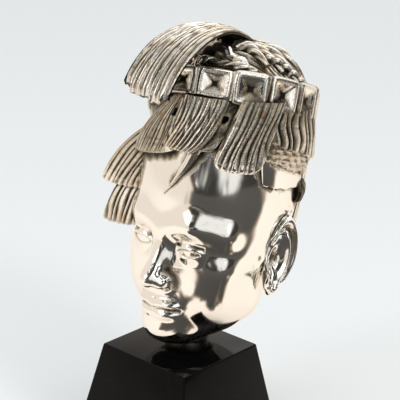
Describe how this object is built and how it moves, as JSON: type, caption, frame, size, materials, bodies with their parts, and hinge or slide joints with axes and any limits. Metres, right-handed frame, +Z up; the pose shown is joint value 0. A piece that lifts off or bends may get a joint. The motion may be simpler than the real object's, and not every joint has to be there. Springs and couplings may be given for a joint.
{
  "type": "sculpted head on a plinth",
  "caption": "Polished silver-coloured cast head with a plaque headband, ribbed hair locks and a forward crest, standing on a black stone plinth.",
  "frame": {"origin": "middle of the plinth's underside, which stands on the floor", "axes": "+Z up, the face looks along -Y, +X to the figure's left"},
  "size_m": [0.1857, 0.203, 0.3949],
  "materials": {
    "silver": "mirror polish on the skin, darkened in the grooves of the hair",
    "black_stone": "polished black stone"
  },
  "bodies": {
    "root": {"cast_head": "silver", "stone_plinth": "black_stone"}
  },
  "joints": []
}
